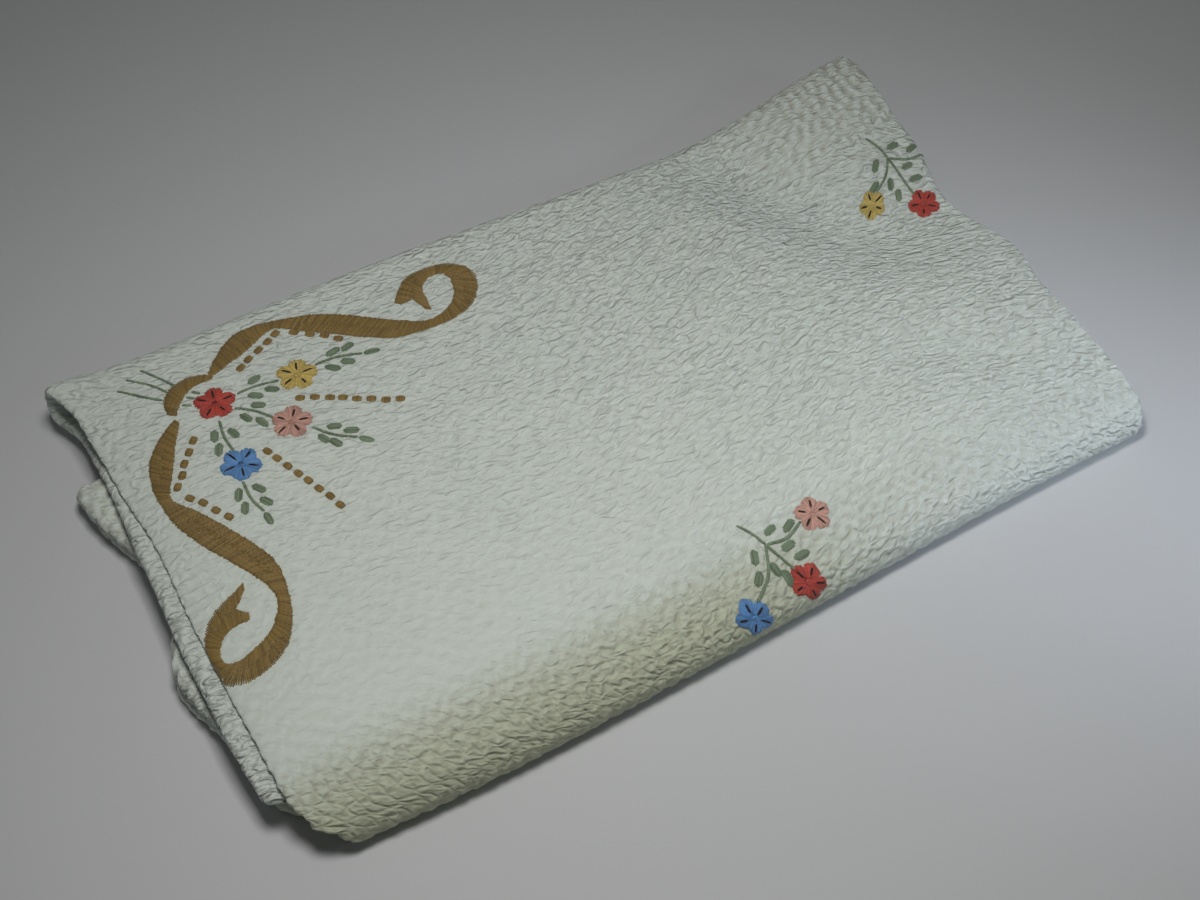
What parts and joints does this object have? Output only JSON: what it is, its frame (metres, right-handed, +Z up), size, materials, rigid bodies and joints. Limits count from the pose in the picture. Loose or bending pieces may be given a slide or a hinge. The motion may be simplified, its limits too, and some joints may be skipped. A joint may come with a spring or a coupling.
{
  "type": "folded pique bedspread",
  "caption": "Embroidered off-white pique bedspread, folded to a strip and folded again into a low rectangular pile with round folds and a flat underside to rest on.",
  "frame": {"origin": "centre of the bounding box, on the floor side of the pile", "axes": "+X along the pile's long side, +Y towards the rear fold, +Z up through the layers"},
  "size_m": [0.8572, 0.5082, 0.0691],
  "materials": {
    "pique": "matte",
    "thread_tan": "satin",
    "thread_green": "satin",
    "thread_red": "satin",
    "thread_pink": "satin",
    "thread_yellow": "satin",
    "thread_blue": "satin",
    "thread_dark": "satin"
  },
  "bodies": {
    "root": {"bedspread": "pique"}
  },
  "joints": []
}
